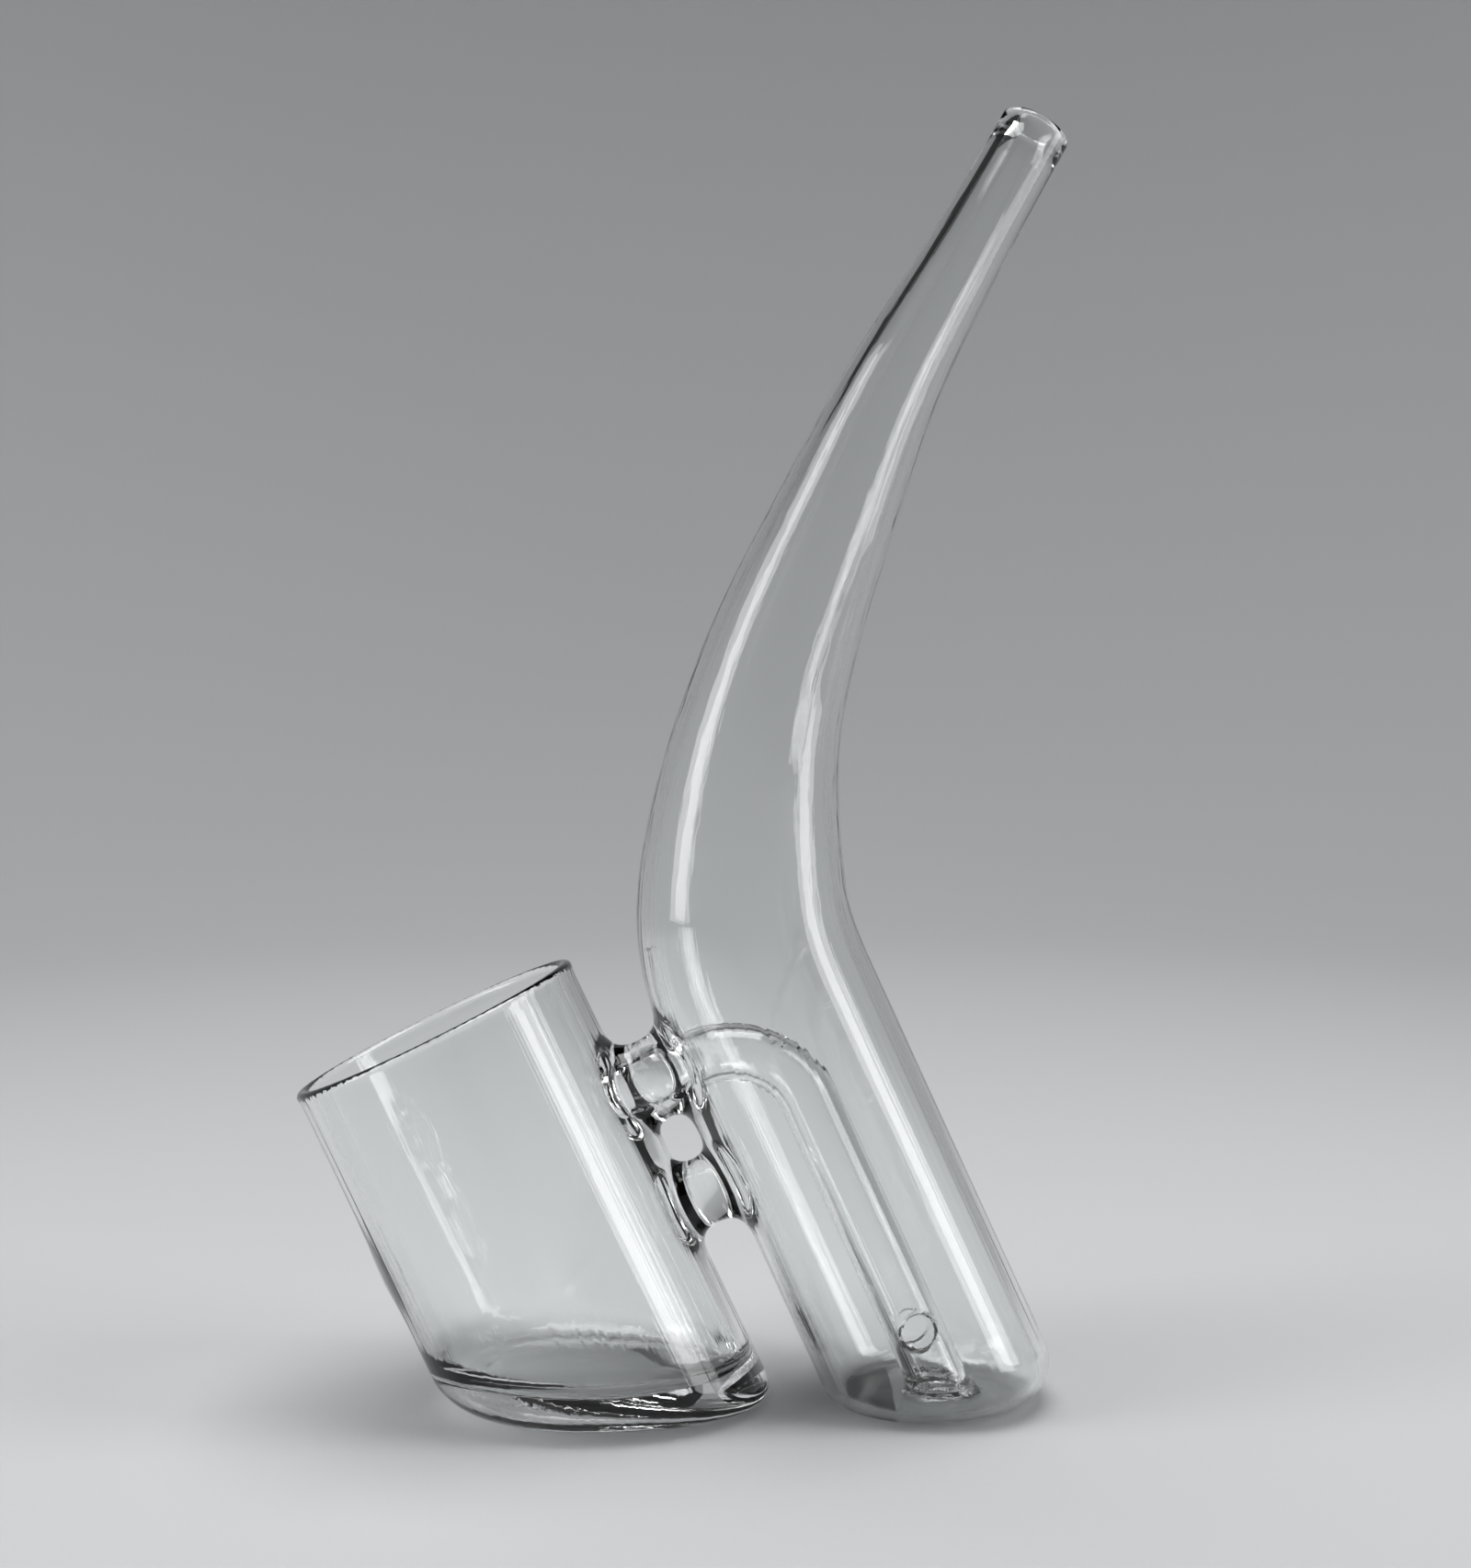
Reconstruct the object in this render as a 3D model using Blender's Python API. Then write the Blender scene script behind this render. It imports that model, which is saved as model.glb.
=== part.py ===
"""A clear glass bubbler that stands on two flat feet.

A leaning chamber is drawn out above into a long bent neck. A wide open cup leans beside it,
joined to it by a hollow bridge, the airway, and by a solid bridge under that. Inside the
chamber a bent downtube leads from the airway to the chamber's floor.

Metres, +Z up. The origin is on the chamber's flat foot, where the chamber's axis meets the
table. Y = 0 is the plane of symmetry, and both tubes lean towards -X.
"""
from math import cos, pi, radians, sin, sqrt, tan

import bmesh
import bpy
from mathutils import Matrix, Vector

# ---- driving dimensions ---------------------------------------------------------------------

SEAM = 0.0003                    # left between two pieces that are melted together in glass
SIDES = 40                       # flat sides round a wide tube
THIN_SIDES = 24                  # flat sides round a bridge, the downtube and a port

CHAMBER_RADIUS = 0.0170          # outside
CHAMBER_WALL = 0.0020
CHAMBER_LEAN = radians(24.6)
CHAMBER_FLOOR = 0.0012
CHAMBER_BASE_RIM = 0.0027        # plain wall of the base above its highest rounding
CHAMBER_LENGTH = 0.0745          # along the axis, from the table to the foot of the shoulder
CHAMBER_HEEL = (0.00575, 0.0015, -0.00125)        # rounding of the outer foot, as foot_rings reads it
CHAMBER_INNER_HEEL = (0.0045, 0.0010, -0.0010)

NECK_BENDS = (                   # start along the centre line, length, turn towards +X
    (0.0650, 0.0224, radians(22.1)),
    (0.0700, 0.0700, radians(25.2)),
    (0.1520, 0.0260, radians(6.8)),
)
NECK_TAPERS = (                  # start along the centre line, length, share of the narrowing
    (0.0714, 0.0455, 0.22),
    (0.0680, 0.1405, 0.78),
)
SHOULDER_END = 0.1160            # length of the centre line, from the table to the neck
SHOULDER_RINGS = 8
NECK_END = 0.2127                # length of the centre line, from the table to the mouth
NECK_RINGS = 14

MOUTH_RADIUS = 0.0056            # outside
MOUTH_WALL = 0.0017              # wall of the neck where the lip begins
MOUTH_BORE = 0.0033              # radius of the opening inside the lip
LIP_LENGTH = 0.0055

CUP_RADIUS = 0.02285             # outside
CUP_WALL = 0.0020
CUP_LEAN = radians(25.65)
TUBE_GAP = 0.00795               # between the cup's and the chamber's walls, level with the feet
CUP_FLOOR = 0.0036
CUP_BASE_RIM = 0.0009
CUP_LENGTH = 0.0634              # along the axis, from the table to the rim
CUP_RIM_SPREAD = 0.00025         # how far the rim stands out from the wall
CUP_RIM_LENGTH = 0.0030
CUP_HEEL = (0.0071, -0.0033, -0.0019)
CUP_INNER_HEEL = (0.0055, -0.0020, -0.0010)

AIRWAY_HEIGHT = 0.0634           # along the chamber's axis
AIRWAY_RADIUS = 0.00615          # outside, at the waist
AIRWAY_FLARE = 0.0022            # how much wider the melted ends are
AIRWAY_BORE = 0.0035
SUPPORT_HEIGHT = 0.0443
SUPPORT_RADIUS = 0.00495
SUPPORT_FLARE = 0.0018

DOWNTUBE_RADIUS = 0.0045
DOWNTUBE_SHIFT = 0.0005          # of its axis from the chamber's, towards the cup
DOWNTUBE_WALL = 0.00125
DOWNTUBE_RUN = 0.0013            # straight part between the chamber's wall and the bend
DOWNTUBE_BEND_LOSS = 0.0004      # how much thinner the wall is drawn on the outside of the bend
DOWNTUBE_HOLE_RADIUS = 0.0025
DOWNTUBE_HOLE_HEIGHT = 0.0105    # above the table, where the hole crosses the tube's axis
DOWNTUBE_HOLE_TURN = radians(5)  # the hole runs from front to back, its front end turned to +X
DOWNTUBE_HOLE_RISE = radians(10)     # and raised
SEAL_FLARE = 0.0009              # how far the ring seal at the wall spreads round the downtube
WELD_HEIGHT = 0.0026             # of the ridged ring of glass at the downtube's foot
WELD_SPREAD = 0.0005             # how far it stands out from the downtube
WELD_RIDGES = 3
WELD_RIDGE_DEPTH = 0.00015

GLASS_COLOUR = (0.93, 0.96, 0.95, 1.0)

FRONT = Vector((0.0, 1.0, 0.0))


# ---- shapes ---------------------------------------------------------------------------------

def turns(count):
    """Angles round a circle, from the +X side."""
    return [2 * pi * i / count for i in range(count)]


def smooth_step(x):
    """0 below 0, 1 above 1, with a soft start and end."""
    x = min(max(x, 0.0), 1.0)
    return x * x * (3 - 2 * x)


def slerp(start, end, share):
    """A unit vector part of the way round from one to another."""
    angle = start.angle(end)
    return (start * sin((1 - share) * angle) + end * sin(share * angle)) / sin(angle)


class Leaning:
    """A straight axis that leans towards -X from a point on the table."""

    def __init__(self, foot_x, lean):
        self.foot = Vector((foot_x, 0.0, 0.0))
        self.lean = lean
        self.up = Vector((-sin(lean), 0.0, cos(lean)))
        self.side = Vector((cos(lean), 0.0, sin(lean)))

    def at(self, along, side=0.0, front=0.0):
        return self.foot + self.up * along + self.side * side + FRONT * front

    def spoke(self, angle):
        return self.side * cos(angle) + FRONT * sin(angle)

    def ring(self, along, radius, count=SIDES):
        return [self.at(along) + self.spoke(a) * radius for a in turns(count)]

    def level_ring(self, height, radius, count=THIN_SIDES):
        """Where the tube of this radius is cut by a level plane."""
        points = []
        for a in turns(count):
            along = (height - radius * cos(a) * sin(self.lean)) / cos(self.lean)
            points.append(self.at(along) + self.spoke(a) * radius)
        return points

    def foot_rings(self, radius, floor, heel, steps):
        """From the middle of a level floor, round its heel and up to the wall.

        The heel's radius is its mean, plus a part that grows from the -X side to the +X side,
        plus a part that is larger at both of those than at the front and the back.
        """
        mean, to_side, to_ends = heel
        rings = [[Vector((self.foot.x - floor * tan(self.lean), 0.0, floor))]]
        for step in range(steps + 1):
            ring = []
            for a in turns(SIDES):
                r = mean + to_side * cos(a) + to_ends * cos(2 * a)
                along = (floor + r - (radius - r) * cos(a) * sin(self.lean)) / cos(self.lean)
                middle = self.at(along) + self.spoke(a) * (radius - r)
                ring.append(middle + slerp(Vector((0, 0, -1)), self.spoke(a), step / steps) * r)
            rings.append(ring)
        return rings


def solid(name, rings, material):
    """A closed body over rings of points.

    A ring of one point is a pole. Without poles the last ring is joined to the first.
    """
    bm = bmesh.new()
    loops = [[bm.verts.new(point) for point in ring] for ring in rings]
    pairs = list(zip(loops, loops[1:]))
    if len(loops[0]) > 1:
        pairs.append((loops[-1], loops[0]))
    for low, high in pairs:
        count = max(len(low), len(high))
        for i in range(count):
            j = (i + 1) % count
            if len(low) == 1:
                corners = (low[0], high[j], high[i])
            elif len(high) == 1:
                corners = (low[i], low[j], high[0])
            else:
                corners = (low[i], low[j], high[j], high[i])
            bm.faces.new(corners)
    if bm.calc_volume(signed=True) < 0:
        bmesh.ops.reverse_faces(bm, faces=bm.faces)
    mesh = bpy.data.meshes.new(name)
    bm.to_mesh(mesh)
    bm.free()
    mesh.materials.append(material)
    mesh.shade_smooth()
    mesh.set_sharp_from_angle(angle=radians(40))
    piece = bpy.data.objects.new(name, mesh)
    bpy.context.scene.collection.objects.link(piece)
    return piece


def drill(piece, start, direction, radius, length):
    """Cuts a round hole into a piece, from a start point and along a direction."""
    bm = bmesh.new()
    bmesh.ops.create_cone(bm, cap_ends=True, segments=THIN_SIDES, radius1=radius,
                          radius2=radius, depth=length)
    turn = direction.to_track_quat("Z", "Y").to_matrix().to_4x4()
    middle = start + direction.normalized() * (length / 2)
    bmesh.ops.transform(bm, matrix=Matrix.Translation(middle) @ turn, verts=bm.verts)
    mesh = bpy.data.meshes.new(piece.name + "_drill")
    bm.to_mesh(mesh)
    bm.free()
    cutter = bpy.data.objects.new(mesh.name, mesh)
    bpy.context.scene.collection.objects.link(cutter)
    cutter.hide_render = True
    cutter.display_type = "WIRE"
    cut = piece.modifiers.new("hole", "BOOLEAN")
    cut.operation = "DIFFERENCE"
    cut.solver = "EXACT"
    cut.object = cutter


def glass(name):
    """Clear glass, one material for each piece."""
    material = bpy.data.materials.new(name)
    material.use_nodes = True
    shader = material.node_tree.nodes["Principled BSDF"]
    shader.inputs["Base Color"].default_value = GLASS_COLOUR
    shader.inputs["Roughness"].default_value = 0.02
    shader.inputs["Metallic"].default_value = 0.0
    shader.inputs["IOR"].default_value = 1.47
    shader.inputs["Alpha"].default_value = 0.35
    return material


# ---- the chamber's centre line, which goes on through the neck ---------------------------------

def heading(along):
    """Lean towards +X of the centre line, at a length along it."""
    lean = -CHAMBER_LEAN
    for start, length, turn in NECK_BENDS:
        lean += turn * smooth_step((along - start) / length)
    return lean


def centre_line(along, step=0.0005):
    """The centre line's point at a length along it."""
    count = max(1, round(along / step))
    part = along / count
    point = Vector((0.0, 0.0, 0.0))
    for i in range(count):
        lean = heading((i + 0.5) * part)
        point += Vector((sin(lean), 0.0, cos(lean))) * part
    return point


def narrowing(along):
    """0 at the chamber, 1 at the mouth."""
    return sum(share * smooth_step((along - start) / length)
               for start, length, share in NECK_TAPERS)


def tube_radius(along):
    return CHAMBER_RADIUS + (MOUTH_RADIUS - CHAMBER_RADIUS) * narrowing(along)


def tube_wall(along):
    return CHAMBER_WALL + (MOUTH_WALL - CHAMBER_WALL) * narrowing(along)


def bent_ring(along, radius):
    lean = heading(along)
    side = Vector((cos(lean), 0.0, -sin(lean)))
    middle = centre_line(along)
    return [middle + (side * cos(a) + FRONT * sin(a)) * radius for a in turns(SIDES)]


def bent_tube(name, start, end, count):
    """A stretch of the chamber's tube, its outside up and then its bore down."""
    places = [start + (end - start) * i / count for i in range(count + 1)]
    rings = [bent_ring(s, tube_radius(s)) for s in places]
    rings += [bent_ring(s, tube_radius(s) - tube_wall(s)) for s in reversed(places)]
    return solid(name, rings, glass(name))


# ---- the pieces -----------------------------------------------------------------------------

chamber = Leaning(0.0, CHAMBER_LEAN)
downtube = Leaning(-DOWNTUBE_SHIFT / cos(CHAMBER_LEAN), CHAMBER_LEAN)
cup = Leaning(-(CHAMBER_RADIUS / cos(CHAMBER_LEAN) + TUBE_GAP + CUP_RADIUS / cos(CUP_LEAN)),
              CUP_LEAN)
airway_direction = -chamber.side


def make_base(name, axis, radius, wall, floor, heel, inner_heel, rim):
    """The closed foot of a tube: a level floor, a rounded heel and a short upright wall.

    Returns the length along the axis from the table to its top.
    """
    outside = axis.foot_rings(radius, 0.0, heel, 6)
    inside = axis.foot_rings(radius - wall, floor, inner_heel, 5)
    highest = max((point - axis.foot).dot(axis.up) for point in outside[-1] + inside[-1])
    length = highest + rim
    top = [axis.ring(length, radius), axis.ring(length, radius - wall)]
    solid(name, outside + top + inside[::-1], glass(name))
    return length


def make_chamber_wall(base_length):
    piece = bent_tube("chamber_wall", base_length + SEAM, CHAMBER_LENGTH, 10)
    drill(piece, chamber.at(AIRWAY_HEIGHT, -CHAMBER_RADIUS / 2), airway_direction,
          AIRWAY_BORE, CHAMBER_RADIUS)


def make_cup_wall(base_length):
    """A tube with a slightly spread, fire-polished rim, which is half a circle in section."""
    low = base_length + SEAM
    roll = CUP_WALL / 2
    middle = CUP_RADIUS + CUP_RIM_SPREAD - roll
    rim_foot = CUP_LENGTH - CUP_RIM_LENGTH
    rings = [cup.ring(low, CUP_RADIUS), cup.ring(rim_foot, CUP_RADIUS)]
    for i in range(7):
        a = pi * i / 6
        rings.append(cup.ring(CUP_LENGTH - roll + roll * sin(a), middle + roll * cos(a)))
    rings.append(cup.ring(rim_foot, CUP_RADIUS - CUP_WALL))
    rings.append(cup.ring(low, CUP_RADIUS - CUP_WALL))
    piece = solid("cup_wall", rings, glass("cup_wall"))
    drill(piece, chamber.at(AIRWAY_HEIGHT, -CHAMBER_RADIUS), airway_direction,
          AIRWAY_BORE, CUP_RADIUS)


def make_mouthpiece():
    """The lip: the bore closes in over a soft shoulder, and the end is fire-polished."""
    low = NECK_END - LIP_LENGTH
    neck_bore = tube_radius(low) - tube_wall(low)
    thickness = MOUTH_RADIUS - MOUTH_BORE
    roll = thickness / 2
    middle = MOUTH_RADIUS - roll
    rings = [bent_ring(low, tube_radius(low))]
    for i in range(9):
        a = pi * i / 8
        rings.append(bent_ring(NECK_END - roll + roll * sin(a), middle + roll * cos(a)))
    for share in (0.75, 0.5, 0.25):
        place = low + (NECK_END - roll - low) * share
        bore = neck_bore + (MOUTH_BORE - neck_bore) * smooth_step(share)
        rings.append(bent_ring(place, bore))
    rings.append(bent_ring(low, neck_bore))
    solid("mouthpiece", rings, glass("mouthpiece"))


def bridge_ring(height, radius, share):
    """A ring round a bridge, from the chamber's wall at share 0 to the cup's at share 1."""
    ring = []
    for a in turns(THIN_SIDES):
        front = radius * sin(a)
        near = -sqrt((CHAMBER_RADIUS + SEAM) ** 2 - front ** 2)
        start = chamber.at(height + radius * cos(a), near, front)
        to_cup_axis = (start - cup.foot).dot(cup.side)
        to_cup = to_cup_axis - sqrt((CUP_RADIUS + SEAM) ** 2 - front ** 2)
        reach = to_cup / chamber.side.dot(cup.side)
        ring.append(start - chamber.side * (reach * share))
    return ring


def bridge_rings(height, waist, flare, count):
    """Rings along a bridge, whose melted ends flare on to both walls."""
    shares = [i / count for i in range(count + 1)]
    return [bridge_ring(height, waist + flare * abs(2 * share - 1) ** 3, share)
            for share in shares]


def make_bridges():
    outside = bridge_rings(AIRWAY_HEIGHT, AIRWAY_RADIUS, AIRWAY_FLARE, 8)
    bore = bridge_rings(AIRWAY_HEIGHT, AIRWAY_BORE, 0.0, 1)
    solid("airway_bridge", outside + bore[::-1], glass("airway_bridge"))

    def end_cap(share):
        """A solid end that follows the wall it is melted on to, from its middle out."""
        end = SUPPORT_RADIUS + SUPPORT_FLARE
        middle = bridge_ring(SUPPORT_HEIGHT, 0.0, share)[:1]
        return [middle] + [bridge_ring(SUPPORT_HEIGHT, end * i / 4, share) for i in (1, 2, 3)]

    rod = bridge_rings(SUPPORT_HEIGHT, SUPPORT_RADIUS, SUPPORT_FLARE, 8)
    solid("support_bridge", end_cap(0) + rod + end_cap(1)[::-1], glass("support_bridge"))


def make_downtube():
    """The ring seal at the wall, the bent part and the straight part, on one bore."""
    bore = DOWNTUBE_RADIUS - DOWNTUBE_WALL
    wall = CHAMBER_RADIUS - CHAMBER_WALL - SEAM
    bend_start = wall - DOWNTUBE_RUN
    bend = bend_start - DOWNTUBE_SHIFT

    def ring_across(side, radius):
        """A ring round the airway's line, at a distance from the chamber's axis."""
        return [chamber.at(AIRWAY_HEIGHT + radius * cos(a), -side, radius * sin(a))
                for a in turns(THIN_SIDES)]

    def ring_on_wall(radius):
        """The same ring, laid on to the chamber's inner wall."""
        return [chamber.at(AIRWAY_HEIGHT + radius * cos(a),
                           -sqrt(wall ** 2 - (radius * sin(a)) ** 2), radius * sin(a))
                for a in turns(THIN_SIDES)]

    seal_end = bend_start + SEAM
    rings = [ring_on_wall(DOWNTUBE_RADIUS + SEAL_FLARE),
             ring_across(seal_end, DOWNTUBE_RADIUS),
             ring_across(seal_end, bore),
             ring_on_wall(bore)]
    solid("ring_seal", rings, glass("ring_seal"))

    centre = chamber.at(AIRWAY_HEIGHT - bend, -bend_start)

    def bend_ring(angle, radius, loss=0.0):
        """A ring round the bend's centre line, from the airway's line to the downtube's axis.

        The loss is taken from its outer side, and fades out at both ends of the bend.
        """
        out = chamber.up * cos(angle) + chamber.side * sin(angle)
        ring = []
        for a in turns(THIN_SIDES):
            r = radius - loss * sin(2 * angle) * max(cos(a), 0.0)
            ring.append(centre + out * (bend + r * cos(a)) + FRONT * (r * sin(a)))
        return ring

    angles = [pi / 2 * i / 10 for i in range(11)]
    rings = [bend_ring(angle, DOWNTUBE_RADIUS, DOWNTUBE_BEND_LOSS) for angle in angles]
    rings += [bend_ring(angle, bore) for angle in reversed(angles)]
    solid("downtube_elbow", rings, glass("downtube_elbow"))

    bend_foot = (centre - downtube.foot).dot(downtube.up)
    foot = CHAMBER_FLOOR + SEAM + WELD_HEIGHT + SEAM
    rings = [downtube.level_ring(foot, DOWNTUBE_RADIUS),
             downtube.ring(bend_foot - SEAM, DOWNTUBE_RADIUS, THIN_SIDES),
             downtube.ring(bend_foot - SEAM, bore, THIN_SIDES),
             downtube.level_ring(foot, bore)]
    piece = solid("downtube", rings, glass("downtube"))
    hole_along = DOWNTUBE_HOLE_HEIGHT / cos(CHAMBER_LEAN)
    facing = Vector((sin(DOWNTUBE_HOLE_TURN), -cos(DOWNTUBE_HOLE_TURN), 0.0))
    facing = facing * cos(DOWNTUBE_HOLE_RISE) + Vector((0.0, 0.0, sin(DOWNTUBE_HOLE_RISE)))
    reach = DOWNTUBE_RADIUS * 1.5
    drill(piece, downtube.at(hole_along) - facing * reach, facing, DOWNTUBE_HOLE_RADIUS,
          reach * 2)


def make_foot_weld():
    """Level ridges of melted glass between the downtube's end and the chamber's floor."""
    low = CHAMBER_FLOOR + SEAM
    bore = DOWNTUBE_RADIUS - DOWNTUBE_WALL
    count = WELD_RIDGES * 4
    rings = []
    for i in range(count + 1):
        share = i / count
        ridge = WELD_RIDGE_DEPTH * cos(2 * pi * WELD_RIDGES * share)
        radius = DOWNTUBE_RADIUS + WELD_SPREAD - ridge
        rings.append(downtube.level_ring(low + WELD_HEIGHT * share, radius))
    rings.append(downtube.level_ring(low + WELD_HEIGHT, bore))
    rings.append(downtube.level_ring(low, bore))
    solid("foot_weld", rings, glass("foot_weld"))


def main():
    for old in list(bpy.data.objects):
        bpy.data.objects.remove(old)
    chamber_base_length = make_base("chamber_base", chamber, CHAMBER_RADIUS, CHAMBER_WALL,
                                    CHAMBER_FLOOR, CHAMBER_HEEL, CHAMBER_INNER_HEEL,
                                    CHAMBER_BASE_RIM)
    cup_base_length = make_base("cup_base", cup, CUP_RADIUS, CUP_WALL, CUP_FLOOR, CUP_HEEL,
                                CUP_INNER_HEEL, CUP_BASE_RIM)
    make_chamber_wall(chamber_base_length)
    make_cup_wall(cup_base_length)
    bent_tube("shoulder", CHAMBER_LENGTH + SEAM, SHOULDER_END, SHOULDER_RINGS)
    bent_tube("neck", SHOULDER_END + SEAM, NECK_END - LIP_LENGTH - SEAM, NECK_RINGS)
    make_mouthpiece()
    make_bridges()
    make_downtube()
    make_foot_weld()


main()
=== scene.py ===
# %% [markdown]
# # A clear glass bubbler, melted from plain tube
#
# The real object is one piece of clear glass. A glassblower made it from a wide tube (the
# cup), a narrower tube drawn out into a bent neck (the chamber), a short hollow bridge, a
# short solid bridge and a thin bent tube inside, and melted them together in a flame.
#
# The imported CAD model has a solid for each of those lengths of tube, with a fine seam
# between them. It fixes every place and size. This script makes the surface that melting
# leaves: no seams, soft fillets at each joint, rounded rims and thick closed feet. That
# surface stands for all the CAD solids at once, because the real joints can't be seen as
# lines: clear glass has run together there.

# %% The frame, and the box that nothing may leave
from math import cos, pi, radians, sin

import bpy
import numpy as np
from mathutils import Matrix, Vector


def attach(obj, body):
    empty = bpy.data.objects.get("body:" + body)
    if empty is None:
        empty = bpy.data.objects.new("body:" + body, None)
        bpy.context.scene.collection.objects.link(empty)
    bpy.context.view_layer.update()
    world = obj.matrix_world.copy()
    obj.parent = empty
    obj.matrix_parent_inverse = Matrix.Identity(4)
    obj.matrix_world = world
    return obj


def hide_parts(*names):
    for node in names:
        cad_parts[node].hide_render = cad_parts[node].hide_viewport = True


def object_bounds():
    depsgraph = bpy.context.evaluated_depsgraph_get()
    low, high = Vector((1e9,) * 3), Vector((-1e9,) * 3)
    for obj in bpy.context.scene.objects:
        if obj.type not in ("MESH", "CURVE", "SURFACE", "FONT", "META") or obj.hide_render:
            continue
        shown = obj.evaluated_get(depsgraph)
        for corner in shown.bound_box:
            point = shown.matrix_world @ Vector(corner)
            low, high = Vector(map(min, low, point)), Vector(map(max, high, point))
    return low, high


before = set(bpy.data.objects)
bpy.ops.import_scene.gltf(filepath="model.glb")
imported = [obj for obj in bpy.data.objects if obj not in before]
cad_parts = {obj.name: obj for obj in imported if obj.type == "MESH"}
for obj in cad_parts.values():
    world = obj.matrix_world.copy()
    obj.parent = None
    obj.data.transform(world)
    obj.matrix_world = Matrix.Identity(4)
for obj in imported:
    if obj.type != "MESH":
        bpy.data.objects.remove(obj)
cad_box = [list(corner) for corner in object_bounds()]
print("CAD box, mm:", [[round(1000 * v, 1) for v in corner] for corner in cad_box])

# %% [markdown]
# ## The sizes
#
# They are the sizes that the CAD part was made from, in metres. The origin is on the
# chamber's foot, Y = 0 is the plane of symmetry, and both tubes lean towards -X. A solid
# mesh can't be asked for its wall or its bend, so the script repeats them here.

# %% Sizes of the tubes
SEAM = 0.0003
CHAMBER_RADIUS = 0.0170
CHAMBER_WALL = 0.0020
CHAMBER_LEAN = radians(24.6)
CHAMBER_FLOOR = 0.0012
CHAMBER_HEEL = (0.00575, 0.0015, -0.00125)
CHAMBER_INNER_HEEL = (0.0045, 0.0010, -0.0010)

NECK_BENDS = ((0.0650, 0.0224, radians(22.1)), (0.0700, 0.0700, radians(25.2)),
              (0.1520, 0.0260, radians(6.8)))
NECK_TAPERS = ((0.0714, 0.0455, 0.22), (0.0680, 0.1405, 0.78))
NECK_END = 0.2127

MOUTH_RADIUS = 0.0056
MOUTH_WALL = 0.0017
MOUTH_BORE = 0.0033
LIP_LENGTH = 0.0055

CUP_RADIUS = 0.02285
CUP_WALL = 0.0020
CUP_LEAN = radians(25.65)
CUP_FLOOR = 0.0048
CUP_FLOOR_FALL = (0.04, 0.08)
CUP_LENGTH = 0.0634
CUP_RIM_SPREAD = 0.00025
CUP_RIM_LENGTH = 0.0030
CUP_HEEL = (0.0071, -0.0033, -0.0019)
CUP_INNER_HEEL = (0.0048, -0.0020, 0.0000)
TUBE_GAP = 0.00795

AIRWAY_HEIGHT = 0.0634
AIRWAY_RADIUS = 0.00615
AIRWAY_BORE = 0.0035
PORT_EASE = 0.004
SUPPORT_HEIGHT = 0.0443
SUPPORT_RADIUS = 0.00495

DOWNTUBE_RADIUS = 0.0045
DOWNTUBE_SHIFT = 0.0005
DOWNTUBE_WALL = 0.00125
DOWNTUBE_RUN = 0.0013
DOWNTUBE_BEND_LOSS = 0.0004
DOWNTUBE_HOLE_RADIUS = 0.0025
DOWNTUBE_HOLE_HEIGHT = 0.0105
DOWNTUBE_HOLE_TURN = radians(5)
DOWNTUBE_HOLE_RISE = radians(10)
DRILL_REACH = 1.5
WELD_HEIGHT = 0.0015
WELD_SPREAD = 0.0005
WELD_FADE = 0.0005
WELD_RIDGES = 2
WELD_RIDGE_DEPTH = 0.00020

CUP_FOOT_X = -(CHAMBER_RADIUS / cos(CHAMBER_LEAN) + TUBE_GAP + CUP_RADIUS / cos(CUP_LEAN))
print("the cup's foot is", round(-1000 * CUP_FOOT_X, 1), "mm from the chamber's")

# %% [markdown]
# ## Distance fields
#
# A distance field gives every point of space one number: how far it is from a surface,
# negative inside. Melted joints are easy to write that way. The larger of two fields is the
# part that both share, the smaller is their union, and a radius rounds the edge or fills
# the corner between them, just as surface tension does in a flame. A Boolean on meshes
# would leave a sharp crease and slivers at each joint, and clear glass hides nothing.

# %% Shared parts, unions and rounded corners
TINY = 1e-9


def smooth_step(x):
    x = np.clip(x, 0.0, 1.0)
    return x * x * (3 - 2 * x)


def melt(a, b, reach):
    """The union of two fields, with glass drawn into the corner as far as reach."""
    near = np.maximum(reach - np.abs(a - b), 0.0) / reach
    return np.minimum(a, b) - near ** 3 * reach / 6


def polish(a, b, reach):
    """What two fields share, with its edge rounded off as far as reach."""
    return -melt(-a, -b, reach)


def rounded_heel(wall, floor, radius, facing):
    """What a wall and a floor share, with an edge of a true radius at any angle.

    facing is the cosine of the angle between the directions out of the two.
    """
    u = wall + radius
    v = floor + radius
    across = (u * u + v * v - 2 * u * v * facing) / (1 - facing * facing)
    on_edge = (u > v * facing) & (v > u * facing)
    arc = np.sqrt(np.maximum(across, 0.0)) - radius
    return np.where(on_edge, arc, np.maximum(wall, floor))


print("a reach of 6 mm fills a corner by", round(-float(melt(0.0, 0.0, 6.0)), 2), "mm")

# %% [markdown]
# ## Writing node trees as sums
#
# Both the geometry and the glass need a little arithmetic in nodes. A small class wraps a
# socket, so that a sum of sockets written in Python adds its own Math nodes. One function
# makes every other node: its settings first, then the values or links of its sockets.

# %% Nodes, and sockets that can be added and multiplied
def socket_of(sockets, key):
    """A socket by its number, name or identifier."""
    if isinstance(key, str):
        for socket in sockets:
            if socket.identifier == key:
                return socket
    return sockets[key]


def add_node(tree, kind, settings=None, values=None):
    """Makes a node. Keys of values are socket names or numbers; values may be sockets."""
    node = tree.nodes.new(kind)
    for name, setting in (settings or {}).items():
        setattr(node, name, setting)
    for key, value in (values or {}).items():
        if isinstance(value, Sum):
            value = value.socket
        if isinstance(value, bpy.types.NodeSocket):
            tree.links.new(value, socket_of(node.inputs, key))
        else:
            socket_of(node.inputs, key).default_value = value
    return node


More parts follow.
